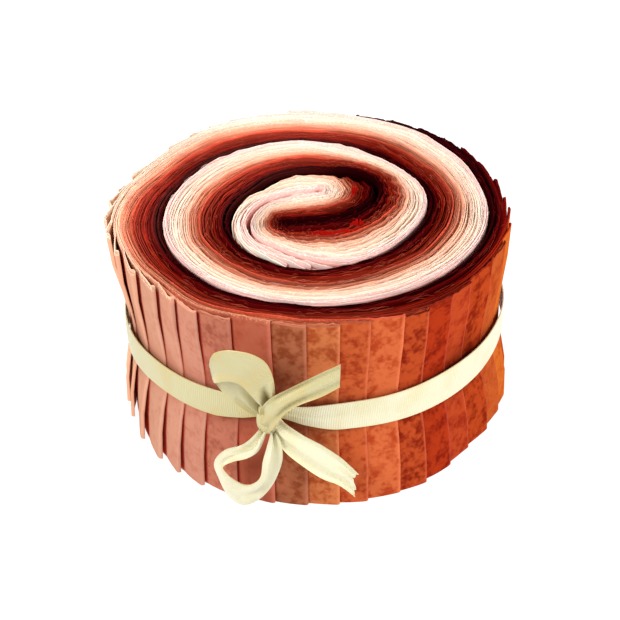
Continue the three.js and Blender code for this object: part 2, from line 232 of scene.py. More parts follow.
def along_at(angle: Array) -> Array:
    """Place along the wall of an angle from +X, in radians."""
    return wrap_along((angle + math.pi / 2) * ROLL_RADIUS)


def angle_at(along: Array) -> Array:
    """Angle from +X, in radians, of a place along the wall."""
    return along / ROLL_RADIUS - math.pi / 2


def ease(value: Array) -> Array:
    """Smooth step from 0 to 1: 3v^2 - 2v^3, held outside that range."""
    v = np.clip(value, 0.0, 1.0)
    return v * v * (3 - 2 * v)


def bell(distance: Array | float, span: Array | float) -> Array:
    """Bell of height 1: exp(-(distance / span)^2)."""
    return np.exp(-((distance / span) ** 2))


def wall_radius(angle: Array) -> Array:
    """Mean radius of the wall: a circle with a flat and a full place, each a bell over the angle.

    Args:
        angle: angles from +X, in radians.

    Returns:
        The radii, in the shape of angle.
    """
    radius = np.full_like(angle, ROLL_RADIUS)
    for at, span, out in WALL_SHAPE:
        away = np.arctan2(np.sin(angle - math.radians(at)), np.cos(angle - math.radians(at)))
        radius = radius + out * bell(away, math.radians(span))
    return radius


def tie_depth(angle: Array) -> Array:
    """How far the ribbon pulls the wall in: less by a bell at the right."""
    return TIE_DEPTH - TIE_EASED * bell(along_at(angle) - TIE_EASED_AT, TIE_EASED_SPAN)


def band_middle(angle: Array) -> Array:
    """Height of the ribbon's middle round the wall."""
    return read_table(BAND_ROUTE, along_at(angle), 1)


def tie_share(angle: Array, height: Array) -> Array:
    """Share of the ribbon's pull: 1 under it, then 1 / (1 + (distance / reach)^2) away from it.

    Args:
        angle: angles from +X, in radians.
        height: heights above the floor.

    Returns:
        The shares, from 0 to 1.
    """
    away = height - band_middle(angle)
    past = np.maximum(0.0, np.abs(away) - TIE_HALF_HEIGHT)
    reach = np.where(away > 0, TIE_REACH_UP, TIE_REACH_DOWN)
    return 1 / (1 + (past / reach) ** 2)


def fold_angle(strip: int) -> float:
    """Turn angle in degrees at which a strip's folded end lies on the wall.

    Args:
        strip: the strip's number, from the dark side.

    Returns:
        The angle from +X, a full turn further on than along the wall.
    """
    index = FOLD_OF_STRIP_0 - strip
    shift = FOLD_SHIFT[index % STRIP_COUNT % len(FOLD_SHIFT)]
    along = FIRST_FOLD + index * FOLD_PITCH + shift
    return 360.0 + math.degrees(along / ROLL_RADIUS) - 90.0 + LAST_FOLDS.get(strip, 0.0)


def linear(colour: Colour) -> Colour:
    """Linear light of a screen colour, by the usual curve."""
    bright = [c / 12.92 if c <= 0.04045 else ((c + 0.055) / 1.055) ** 2.4 for c in colour]
    return (bright[0], bright[1], bright[2])


# Meshes

@dataclass
class ClosedSheet:
    """A thin closed sheet on a grid: its middle surface and half its thickness along a normal."""

    middle: Array
    normal: Array
    half: Array

    def mesh(self, name: str, closed: bool = False, crease: float = 50.0) -> bpy.types.Object:
        """Mesh of the sheet: front rows up, back rows down, carried from column to column.

        Args:
            name: the object's name.
            closed: whether the last column joins the first.
            crease: edges sharper than this many degrees stay crisp.

        Returns:
            The object, at the origin, with a UV map of metres along and up the cloth.
        """
        front = self.middle + self.normal * self.half
        back = self.middle - self.normal * self.half
        rings = np.concatenate([front, back[:, ::-1]], axis=1)
        columns, ring = rings.shape[0], rings.shape[1]
        here = np.arange(columns if closed else columns - 1)[:, None] * ring
        there = (here + ring) % (columns * ring)
        side = np.arange(ring)[None, :]
        up = (side + 1) % ring
        quads = np.stack([here + side, there + side, there + up, here + up], -1).reshape(-1, 4)
        if not closed:
            rows = ring // 2
            low = np.arange(rows - 1)
            start = np.stack([low, low + 1, ring - 2 - low, ring - 1 - low], -1)
            end = start[:, ::-1] + (columns - 1) * ring
            quads = np.concatenate([quads, start, end])
        if volume_of(rings.reshape(-1, 3), quads) < 0:
            quads = quads[:, ::-1]
        made = make_object(name, rings.reshape(-1, 3), quads, crease)
        self._unwrap(made, ring)
        return made

    def _unwrap(self, made: bpy.types.Object, ring: int) -> None:
        """UV map: u is the length along the sheet's foot, v the length across it, in metres.

        Args:
            made: the sheet's object.
            ring: how many points go round a column.
        """
        rows = ring // 2
        steps = np.linalg.norm(np.diff(self.middle, axis=0), axis=2)
        run = np.concatenate([np.zeros((1, rows)), np.cumsum(steps, axis=0)])
        rise = np.linalg.norm(np.diff(self.middle, axis=1), axis=2)
        up = np.concatenate([np.zeros((len(rise), 1)), np.cumsum(rise, axis=1)], axis=1)
        u = np.concatenate([run, run[:, ::-1]], axis=1).reshape(-1) * MM
        v = np.concatenate([up, up[:, ::-1]], axis=1).reshape(-1) * MM
        corner = np.empty(len(made.data.loops), np.int32)
        made.data.loops.foreach_get("vertex_index", corner)
        layer = made.data.uv_layers.new(name="Cloth")
        layer.data.foreach_set("uv", np.column_stack([u[corner], v[corner]]).astype(np.float32).ravel())


def volume_of(points: Array, quads: Array) -> float:
    """Signed volume of a closed mesh, by the tetrahedra from the origin.

    Args:
        points: its points.
        quads: the four points of each face.

    Returns:
        The volume, below 0 where the faces point inwards.
    """
    a, b, c, d = (points[quads[:, k]] for k in range(4))
    both = np.einsum("ij,ij->i", a, np.cross(b, c)) + np.einsum("ij,ij->i", a, np.cross(c, d))
    return float(both.sum() / 6)


def add_number(made: bpy.types.Object, name: str, values: Array) -> None:
    """Gives a mesh an attribute with a number for each point."""
    attribute = made.data.attributes.new(name, "FLOAT", "POINT")
    attribute.data.foreach_set("value", values.astype(np.float32))


def make_object(name: str, points: Array, quads: Array, crease: float) -> bpy.types.Object:
    """A smooth shaded object.

    Args:
        name: the object's name.
        points: its points, in millimetres.
        quads: the four points of each face.
        crease: edges sharper than this many degrees stay crisp.

    Returns:
        The object, at the origin.
    """
    mesh = bpy.data.meshes.new(name)
    mesh.vertices.add(len(points))
    mesh.vertices.foreach_set("co", (points * MM).astype(np.float32).ravel())
    mesh.loops.add(quads.size)
    mesh.loops.foreach_set("vertex_index", quads.astype(np.int32).ravel())
    mesh.polygons.add(len(quads))
    mesh.polygons.foreach_set("loop_start", (np.arange(len(quads)) * 4).astype(np.int32))
    mesh.update(calc_edges=True)
    mesh.polygons.foreach_set("use_smooth", np.ones(len(quads), bool))
    mesh.set_sharp_from_angle(angle=math.radians(crease))
    mesh.update()
    made = bpy.data.objects.new(name, mesh)
    bpy.context.scene.collection.objects.link(made)
    return made


# Materials

class Socket:
    """A number from a shader node, with the usual operators as Math nodes."""

    def __init__(self, nodes: "NodeMaker", socket: bpy.types.NodeSocket | None) -> None:
        """Keeps the maker of nodes and the socket that carries the number."""
        self.nodes = nodes
        self.socket = socket

    def _math(self, operation: str, *values: "Socket | float") -> "Socket":
        """One Math node on these values."""
        return self.nodes.node("ShaderNodeMath", {"operation": operation}, dict(enumerate(values)))

    def __add__(self, other: "Socket | float") -> "Socket":
        """Sum."""
        return self._math("ADD", self, other)

    def __radd__(self, other: float) -> "Socket":
        """Sum, with the number first."""
        return self._math("ADD", other, self)

    def __sub__(self, other: "Socket | float") -> "Socket":
        """Difference."""
        return self._math("SUBTRACT", self, other)

    def __rsub__(self, other: float) -> "Socket":
        """Difference, with the number first."""
        return self._math("SUBTRACT", other, self)

    def __mul__(self, other: "Socket | float") -> "Socket":
        """Product."""
        return self._math("MULTIPLY", self, other)

    def __rmul__(self, other: float) -> "Socket":
        """Product, with the number first."""
        return self._math("MULTIPLY", other, self)

    def __truediv__(self, other: "Socket | float") -> "Socket":
        """Quotient."""
        return self._math("DIVIDE", self, other)

    def __rtruediv__(self, other: float) -> "Socket":
        """Quotient, with the number first."""
        return self._math("DIVIDE", other, self)

    def __abs__(self) -> "Socket":
        """Size without the sign."""
        return self._math("ABSOLUTE", self)

    def sine(self) -> "Socket":
        """Sine."""
        return self._math("SINE", self)

    def or_more(self, other: "Socket") -> "Socket":
        """The larger of two."""
        return self._math("MAXIMUM", self, other)

    def step(self, low: float, high: float) -> "Socket":
        """Smooth step from 0 at low to 1 at high."""
        return self.nodes.node("ShaderNodeMapRange", {"interpolation_type": "SMOOTHSTEP"},
                               {0: self, 1: low, 2: high, 3: 0.0, 4: 1.0})


class NodeMaker:
    """Makes the nodes of one material."""

    def __init__(self, name: str) -> None:
        """Starts a material with an empty node tree."""
        self.material = bpy.data.materials.new(name)
        self.material.use_nodes = True
        self.tree = self.material.node_tree
        self.tree.nodes.clear()

    def node(self, kind: str, settings: dict[str, object], values: dict[int | str, object],
             output: int | str = 0) -> Socket:
        """Makes any node.

        Args:
            kind: the node's type.
            settings: its properties.
            values: numbers, colours, vectors or sockets for its inputs.
            output: the output to return.

        Returns:
            The output, wrapped, or an empty wrapper for a node that has none.
        """
        made = self.tree.nodes.new(kind)
        for key, value in settings.items():
            setattr(made, key, value)
        for key, value in values.items():
            if isinstance(value, Socket):
                self.tree.links.new(value.socket, made.inputs[key])
            else:
                made.inputs[key].default_value = value
        return Socket(self, made.outputs[output] if len(made.outputs) else None)

    def object_place(self) -> Socket:
        """Object coordinates."""
        return self.node("ShaderNodeTexCoord", {}, {}, "Object")

    def part(self, vector: Socket, letter: str) -> Socket:
        """One part of a vector, by its letter."""
        return self.node("ShaderNodeSeparateXYZ", {}, {"Vector": vector}, letter)

    def attribute(self, name: str) -> Socket:
        """The number that a mesh attribute holds."""
        return self.node("ShaderNodeAttribute", {"attribute_name": name}, {}, "Fac")

    def bump(self, height: Socket, strength: float) -> Socket:
        """Normal of a relief a tenth of a millimetre deep."""
        return self.node("ShaderNodeBump", {}, {"Strength": strength, "Distance": 0.1 * MM,
                                                "Height": height})

    def noise(self, where: Socket, scale: float, detail: float = 3.0, twist: float = 0.0) -> Socket:
        """Noise of a scale, in cells a metre, from 0 to 1."""
        return self.node("ShaderNodeTexNoise", {},
                         {"Vector": where, "Scale": scale, "Detail": detail, "Distortion": twist}, "Fac")

    def blend(self, share: Socket | float, first: object, second: object) -> Socket:
        """Mix of two colours by a share."""
        return self.node("ShaderNodeMix", {"data_type": "RGBA"}, {0: share, 6: first, 7: second}, 2)

    def finish(self, settings: dict[int | str, object]) -> bpy.types.Material:
        """Ends the tree in a Principled shader with these inputs."""
        shader = self.node("ShaderNodeBsdfPrincipled", {}, settings)
        self.node("ShaderNodeOutputMaterial", {}, {"Surface": shader})
        return self.material


@dataclass(frozen=True)
class DyedCotton:
    """Woven cotton with a cloudy hand-dyed ground and pale thread ends along its cut edges, with light and
    shade painted in: a shadow where a panel dips under the next fold, a highlight on its own fold, shade
    between the layers below the cut edges, and light at the back left.

    A zone near the cut edges has two distances in from them, in millimetres: where it begins and
    where it is full.
    """

    ground: Colour
    cloud: Colour
    cloud_share: float
    place: tuple[float, float, float]
    wound: Colour
    fray: float = 0.35
    cloud_scale: float = 240.0
    speckle_scale: float = 800.0
    thread_scale: float = 1600.0
    weave_scale: float = 2600.0
    # Tint of the painted shadow where a panel dips under the next fold.
    fold_shadow_tint: Colour = (0.85, 0.13, 0.09)
    # The next two scale the painted shade between the layers, for dark and for pale strips.
    shade_on_dark: Colour = (0.26, 0.14, 0.14)
    shade_on_pale: Colour = (0.72, 0.50, 0.42)
    # Warm part of the painted light that pales the cut edges at the back left.
    lit_warmth: Colour = (0.06, 0.02, 0.015)
    # Where that painted fold shadow fades out, near the cut edges.
    fold_shadow_end: tuple[float, float] = (1.4, 0.2)
    wound_zone: tuple[float, float] = (9.0, 4.0)
    lit_zone: tuple[float, float] = (1.9, -0.1)
    thread_zone: tuple[float, float] = (0.4, -0.9)
    within_wall: tuple[float, float] = (4.4, 2.2)
    # Where the painted light at the back left begins and is full, in millimetres along y - x.
    back_left: tuple[float, float] = (6.0, 50.0)

    def material(self, name: str) -> bpy.types.Material:
        """Cotton over Object coordinates: dyed cloth, a painted shadow and highlight at its folds, its cut
        edges with painted shade and light, and their threads.

        Args:
            name: the material's name.

        Returns:
            The material.
        """
        make = NodeMaker(name)
        coords = make.object_place()
        where = make.node("ShaderNodeMapping", {}, {"Vector": coords, "Location": self.place})
        x, y, z = (make.part(coords, letter) for letter in "XYZ")
        off = abs(z - 0.5 * STRIP_WIDTH * MM)
        # Painted shadow and highlight at the folds, then the cut edges with painted shade and light.
        cloth = self._fold_shadow_and_highlight(make, self._dyed(make, where), off)
        cloth = self._cut(make, cloth, x, y, off)
        colour = self._threads(make, cloth, where, off)
        bump = make.bump(make.noise(where, self.weave_scale, 1.0), 0.25)
        return make.finish({"Base Color": colour, "Roughness": 0.86, "Normal": bump,
                            "Specular IOR Level": 0.0})

    @staticmethod
    def _near_cut(off: Socket, zone: tuple[float, float]) -> Socket:
        """Rises from 0 where a zone near the cut edges begins to 1 where it is full."""
        return off.step(*((0.5 * STRIP_WIDTH - inwards) * MM for inwards in zone))

    def _dyed(self, make: NodeMaker, where: Socket) -> Socket:
        """The ground colour with its clouds and speckles.

        Args:
            make: the maker of the nodes.
            where: the place that the pattern reads.

        Returns:
            The colour.
        """
        clouds = make.noise(where, self.cloud_scale, 8.0, 0.1)
        speckle = make.noise(where, self.speckle_scale, 3.0)
        share = clouds.step(0.32, 0.74) * self.cloud_share + (speckle - 0.5) * 1.6 * self.cloud_share
        return make.blend(share.step(0.0, 1.0), (*linear(self.ground), 1), (*linear(self.cloud), 1))

    def _fold_shadow_and_highlight(self, make: NodeMaker, cloth: Socket, off: Socket) -> Socket:
        """Painted shadow, dark red, where the panel dips under the next fold, and a painted highlight,
        paler, on its own fold's ridge.

        Args:
            make: the maker of the nodes.
            cloth: the colour so far.
            off: distance from the strip's middle.

        Returns:
            The colour with both.
        """
        ground = linear(self.ground)
        fold_shading = make.attribute("fold_shading")
        shadowed_ground = (*(c * k for c, k in zip(ground, self.fold_shadow_tint)), 1)
        fold_highlight = (*(min(1.3 * c + 0.04, 1.0) for c in ground), 1)
        below = 1 - self._near_cut(off, self.fold_shadow_end)
        cloth = make.blend(fold_shading.step(0.0, 1.0) * below * 0.92, cloth, shadowed_ground)
        return make.blend((0 - fold_shading).step(0.0, 1.0) * 0.5, cloth, fold_highlight)

    def _cut(self, make: NodeMaker, cloth: Socket, x: Socket, y: Socket, off: Socket) -> Socket:
        """The cut edges within the roll, in their own colour; painted shade in the gaps between the layers
        below them, and painted light that makes them paler at the back left.

        Args:
            make: the maker of the nodes.
            cloth: the colour so far.
            x: place to the right.
            y: place to the back.
            off: distance from the strip's middle.

        Returns:
            The colour with them.
        """
        wound = linear(self.wound)
        edge = (((ROLL_RADIUS - inwards) * MM) ** 2 for inwards in self.within_wall)
        inside = (1 - (x * x + y * y).step(*edge)).or_more(make.attribute("cut").step(0.2, 0.8))
        light = (*(c + (0.8 * c + warm) * (1 - wound[1]) ** 2
                   for c, warm in zip(wound, self.lit_warmth)), 1)
        # Painted light: the cut edges turn paler towards the back left.
        lit_back_left = (y - x).step(*(at * MM for at in self.back_left))
        ends = make.blend(lit_back_left * 0.85, (*wound, 1), light)
        cloth = make.blend(inside * self._near_cut(off, self.wound_zone) * 0.9, cloth, ends)
        # Painted shade in the gaps between layers: on the layers inside the wall, more than about 2 mm below
        # their cut edges.
        gap_shade = (*(c * (shade_on_dark + (shade_on_pale - shade_on_dark) * wound[1])
                  for c, shade_on_dark, shade_on_pale in zip(wound, self.shade_on_dark, self.shade_on_pale)), 1)
        deep = 1 - self._near_cut(off, self.lit_zone)
        return make.blend(deep * inside * 0.85, cloth, gap_shade)

    def _threads(self, make: NodeMaker, cloth: Socket, where: Socket, off: Socket) -> Socket:
        """Pale thread ends on the very edge.

        Args:
            make: the maker of the nodes.
            cloth: the colour so far.
            where: the place that the pattern reads.
            off: distance from the strip's middle.

        Returns:
            The colour with them.
        """
        pale = (*(min(c * (1 + 1.4 * self.fray) + 0.002, 1.0) for c in linear(self.wound)), 1)
        threads = make.noise(where, self.thread_scale, 1.0).step(0.45, 0.7)
        return make.blend(self._near_cut(off, self.thread_zone) * threads * 0.8, cloth, pale)


@dataclass(frozen=True)
class Satin:
    """Cream satin ribbon with a fine rib across it and a tight selvage along each edge.

    Left of turned it takes a darker copy of its colours: painted shade, laid where its dull back would show
    as it turns over in the knot.
    """

    turned: float = SHADED_LEFT_OF
    face: Colour = (0.91, 0.89, 0.76)
    shade: Colour = (0.86, 0.80, 0.56)
    # The next two are a darker copy of face and shade: painted shade.
    back: Colour = (0.79, 0.755, 0.56)
    shaded_second_tone: Colour = (0.80, 0.69, 0.36)
    ribs_a_metre: float = 1500.0
    tone_scale: float = 110.0

    def material(self, name: str, width: float) -> bpy.types.Material:
        """Satin: ribs run across the length, which is u of the Cloth map, and v crosses it.

        Args:
            name: the material's name.
            width: the ribbon's width in millimetres.

        Returns:
            The material.
        """
        make = NodeMaker(name)
        cloth = make.node("ShaderNodeUVMap", {"uv_map": "Cloth"}, {})
        ribs = (make.part(cloth, "X") * (self.ribs_a_metre * math.tau)).sine()
        selvage = abs(make.part(cloth, "Y") / (width * MM) - 0.5).step(0.44, 0.48)
        where = make.object_place()
        tone = make.noise(where, self.tone_scale, 2.0)
        share = tone.step(0.40, 0.70) * 0.4 + selvage * 0.35 + ribs * 0.10
        bright = make.blend(share, (*linear(self.face), 1), (*linear(self.shade), 1))
        # The darker copy, painted shade, used left of turned.
        shaded_copy = make.blend(share, (*linear(self.back), 1), (*linear(self.shaded_second_tone), 1))
        turn = make.part(where, "X").step((self.turned - 3) * MM, (self.turned + 3) * MM)
        colour = make.blend(turn, shaded_copy, bright)
        return make.finish({"Base Color": colour, "Roughness": 0.26 + tone * 0.12,
                            "Normal": make.bump(ribs * (1 - selvage), 0.45), "Sheen Weight": 0.2})


# The wound strips

SHADES: tuple[tuple[float, Colour, Colour, float], ...] = (  # strip, ground, cloud, share of cloud
    (0, (0.26, 0.03, 0.06), (0.15, 0.01, 0.03), 0.5),
    (3, (0.38, 0.04, 0.07), (0.24, 0.02, 0.04), 0.5),
    (6, (0.54, 0.07, 0.08), (0.38, 0.03, 0.05), 0.5),
    (8, (0.62, 0.12, 0.09), (0.46, 0.06, 0.05), 0.6),
    (9, (0.78, 0.34, 0.13), (0.66, 0.20, 0.08), 0.7),
    (10, (0.82, 0.42, 0.16), (0.74, 0.29, 0.10), 0.7),
    (11, (0.76, 0.35, 0.16), (0.66, 0.23, 0.10), 0.7),
    (12, (0.70, 0.26, 0.11), (0.50, 0.12, 0.05), 0.9),
    (13, (0.74, 0.28, 0.14), (0.60, 0.16, 0.08), 0.8),
    (14, (0.68, 0.21, 0.09), (0.50, 0.11, 0.05), 0.9),
    (15, (0.73, 0.29, 0.14), (0.52, 0.13, 0.06), 1.0),
    (16, (0.81, 0.40, 0.23), (0.68, 0.25, 0.12), 1.0),
    (17, (0.75, 0.35, 0.19), (0.60, 0.21, 0.10), 1.0),
    (18, (0.79, 0.45, 0.27), (0.65, 0.29, 0.15), 1.0),
    (19, (0.72, 0.42, 0.29), (0.58, 0.28, 0.16), 1.0),
    (20, (0.76, 0.41, 0.31), (0.68, 0.31, 0.22), 0.6),
    (21, (0.74, 0.45, 0.36), (0.62, 0.33, 0.26), 0.9),
    (22, (0.79, 0.54, 0.45), (0.72, 0.43, 0.34), 0.6),
    (24, (0.80, 0.58, 0.48), (0.74, 0.48, 0.38), 0.5),
    (26, (0.84, 0.62, 0.50), (0.78, 0.52, 0.40), 0.5),
    (28, (0.92, 0.71, 0.57), (0.87, 0.61, 0.47), 0.4),
    (31, (0.98, 0.84, 0.70), (0.95, 0.75, 0.61), 0.4),
    (34, (0.99, 0.93, 0.85), (0.97, 0.87, 0.77), 0.4),
    (36, (0.99, 0.90, 0.86), (0.97, 0.85, 0.81), 0.4),
    (39, (0.99, 0.87, 0.85), (0.96, 0.80, 0.79), 0.4),
)


WOUND = np.array([  # strip, and the colour of its cut edges where the roll's ends show them
    (0, 0.16, 0.01, 0.02), (4, 0.26, 0.015, 0.02), (7, 0.52, 0.06, 0.05), (10, 0.57, 0.09, 0.06),
    (14, 0.60, 0.19, 0.13), (16, 0.67, 0.28, 0.20), (18, 0.81, 0.46, 0.34), (21, 0.93, 0.63, 0.50),
    (25, 0.98, 0.79, 0.68), (28, 0.99, 0.87, 0.78), (31, 1.00, 0.91, 0.83), (34, 1.00, 0.91, 0.84),
    (36, 1.00, 0.86, 0.81), (39, 1.00, 0.81, 0.77),
])


CRUSHED = ((42.0, 2.6, 0.34, 0.034), (18.2, 1.8, 0.22, 0.016))  # station, span, place, size
LAYER_WAVES = ((0.012, 1.7, 1.3), (0.006, 4.1, 0.0))  # size, rate by station, beginning


@dataclass
class Winding:
    """The family of layers: the two sides of the stack at stations from the core outwards.

    A station is a rung of the core, and then 15 degrees of turn in the spiral.
    """

    turn_step: float = 1.0
    gap_count: int = 34
    gap_edge: float = 0.004
    wave_height: float = 0.22
    wave_rate: float = 7.4
    margin: float = 0.012
    stations: Array = field(init=False)
    dark: Array = field(init=False)
    pale: Array = field(init=False)
    least: Array = field(init=False)
    gaps: Array = field(init=False)

    def __post_init__(self) -> None:
        """Lays out the sides: splines through the core's rungs, then the measured spiral."""
        joined = SPIRAL_START + TURN_PER_STATION * np.arange(3)
        tail = np.column_stack([self._radial(self._inner(joined), joined),
                                self._radial(self._outer(joined), joined), np.zeros(3)])
        rungs = np.concatenate([CORE_RUNGS, tail])
        steps = int(round(1 / CORE_STEP))
        curve = through_rows(rungs, steps)[: len(CORE_RUNGS) * steps + 1]
        turn = np.arange(SPIRAL_START + self.turn_step, SPIRAL_END, self.turn_step)
        core_at = np.arange(len(curve)) * CORE_STEP
        self.stations = np.concatenate([core_at, self.station_of(turn)])
        self.dark = np.concatenate([curve[:, 0:2], self._radial(self._inner(turn), turn)])
        self.pale = np.concatenate([curve[:, 2:4], self._radial(self._outer(turn), turn)])
        self.least = np.concatenate([curve[:, 4], np.zeros(len(turn))])
        chance = np.random.default_rng(SEED)
        count = self.gap_count
        self.gaps = np.column_stack([
            chance.uniform(0.03, 0.97, count),
            chance.uniform(4, self.station_of(400.0), count),
            chance.uniform(2.0, 9.0, count),
            chance.uniform(0.006, 0.026, count),
        ])

    @staticmethod
    def station_of(turn: Array | float) -> Array | float:
        """Station of a turn angle in the spiral."""
        return CORE_STATIONS + (turn - SPIRAL_START) / TURN_PER_STATION

    @staticmethod
    def turn_of(station: Array) -> Array:
        """Turn angle of a station in the spiral."""
        return SPIRAL_START + (station - CORE_STATIONS) * TURN_PER_STATION

    @staticmethod
    def _radial(radius: Array, turn: Array) -> Array:
        """Points at radii and turn angles."""
        return np.column_stack([radius * np.cos(np.radians(turn)), radius * np.sin(np.radians(turn))])

    @staticmethod
    def _inner(turn: Array) -> Array:
        """Radius of the stack's dark side: the edge of the turn before."""
        return read_table(TURN_EDGE, turn - 360.0)

    def _outer(self, turn: Array) -> Array:
        """Radius of the stack's pale side: measured, and past the first fold worked out.

        There the strips that are left fill the room to the wall, so it lies at
        inner + (wall - inner) * all strips / strips left.

        Args:
            turn: turn angles, in degrees.

        Returns:
            The radii.
        """
        left = (fold_angle(0) - turn) / 9.0 + 0.5
        wall = wall_radius(np.radians(turn))
        room = self._inner(turn) + (wall - self._inner(turn)) * STRIP_COUNT / np.maximum(left, 0.5)
        share = ease((turn - 55.0) / 30.0)
        return read_table(TURN_EDGE, turn) * (1 - share) + room * share

    def spread(self, place: Array, station: Array) -> Array:
        """Place in the stack after its gaps and waves.

        A gap moves what is past it outwards by size * (1 - place) and the rest inwards by
        size * place, so the two sides stay put. A wave adds a sine along the stack in a bell.

        Args:
            place: places in the stack, from 0 for the dark side to 1 for the pale side.
            station: the station of each.

        Returns:
            The places after it, a little inside the two sides.
        """
        moved = place.copy()
        for at, where, span, size in self.gaps:
            past = 1 / (1 + np.exp(-(place - at) / self.gap_edge))
            moved = moved + size * (past - place) * bell(station - where, span)
        for where, span, at, size in CRUSHED:
            crushed = bell(station - where, span) * bell(place - at, self.wave_height)
            moved = moved + size * crushed * np.sin((station - where) * self.wave_rate)
        soft = bell(place - 0.5, 0.4)
        for size, rate, begin in LAYER_WAVES:
            moved = moved + size * soft * np.sin(station * rate + begin)
        return self.margin + (1 - 2 * self.margin) * np.clip(moved, 0.0, 1.2)

    def point(self, place: Array, station: Array) -> Array:
        """Point of a layer: dark side + spread place * (pale side - dark side), in plan.

        Where strips have ended in the core, the dark side belongs to the least place there.

        Args:
            place: places in the stack.
            station: the station of each.

        Returns:
            The points, x and y on the last axis.
        """
        dark, pale, least = self._sides(station)
        share = np.maximum(self.spread(place, station) - least, 0.0) / (1 - least)
        return dark + share[..., None] * (pale - dark)

    def pitch(self, station: Array) -> Array:
        """Room of one layer: the width of the stack over the layers there."""
        dark, pale, least = self._sides(station)
        return np.linalg.norm(pale - dark, axis=-1) / (LAYER_COUNT * np.maximum(1 - least, 0.05))

    def _sides(self, station: Array) -> tuple[Array, Array, Array]:
        """The dark side, the pale side and the least place in the stack at stations."""
        dark, pale = (np.stack([np.interp(station, self.stations, side[:, c]) for c in (0, 1)], -1)
                      for side in (self.dark, self.pale))
        return dark, pale, np.interp(station, self.stations, self.least)

    def first_station(self, place: float) -> float:
        """Where a strip starts: the first station at which the stack reaches down to its place."""
        reached = np.nonzero(self.least <= place + TINY)[0]
        return float(self.stations[reached[0]])


